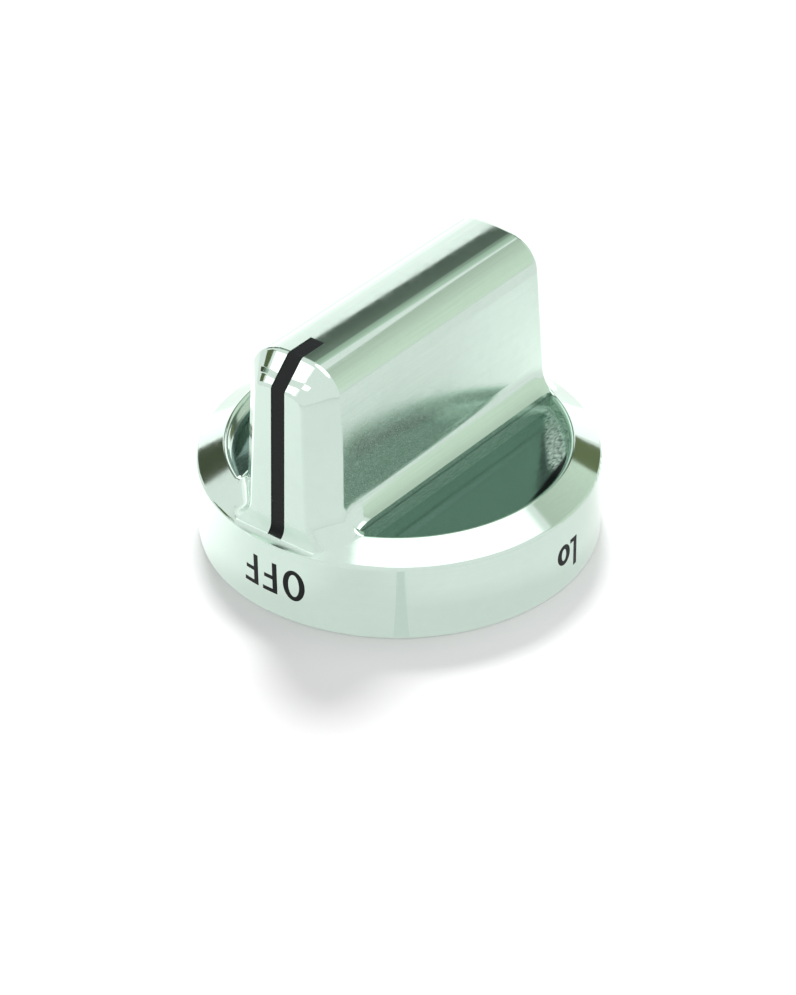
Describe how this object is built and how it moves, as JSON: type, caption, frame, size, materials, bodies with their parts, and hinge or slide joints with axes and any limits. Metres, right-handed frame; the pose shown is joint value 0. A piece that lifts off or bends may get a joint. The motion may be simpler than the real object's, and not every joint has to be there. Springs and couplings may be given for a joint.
{
  "type": "stove knob",
  "caption": "Round metal stove knob with a tall grip across a shallow recess, a black pointer line and a D-shaped stem socket behind.",
  "frame": {"origin": "centre of the back rim, on the stem's axis", "axes": "+Z out along the stem towards the hand, grip along Y, pointer line towards -Y"},
  "size_m": [0.0508, 0.0508, 0.0342],
  "materials": {
    "shell_metal": "fine brushed rim, polished ring and grip",
    "pointer_black": "gloss",
    "insert_black": "moulded, fine texture",
    "spring_steel": "bright strip",
    "screw_steel": "zinc plated"
  },
  "bodies": {
    "root": {"knob_shell": "shell_metal", "pointer_inlay": "pointer_black", "stem_insert": "insert_black", "spring_clip": "spring_steel", "fixing_screw_1": "screw_steel", "fixing_screw_2": "screw_steel"}
  },
  "joints": []
}
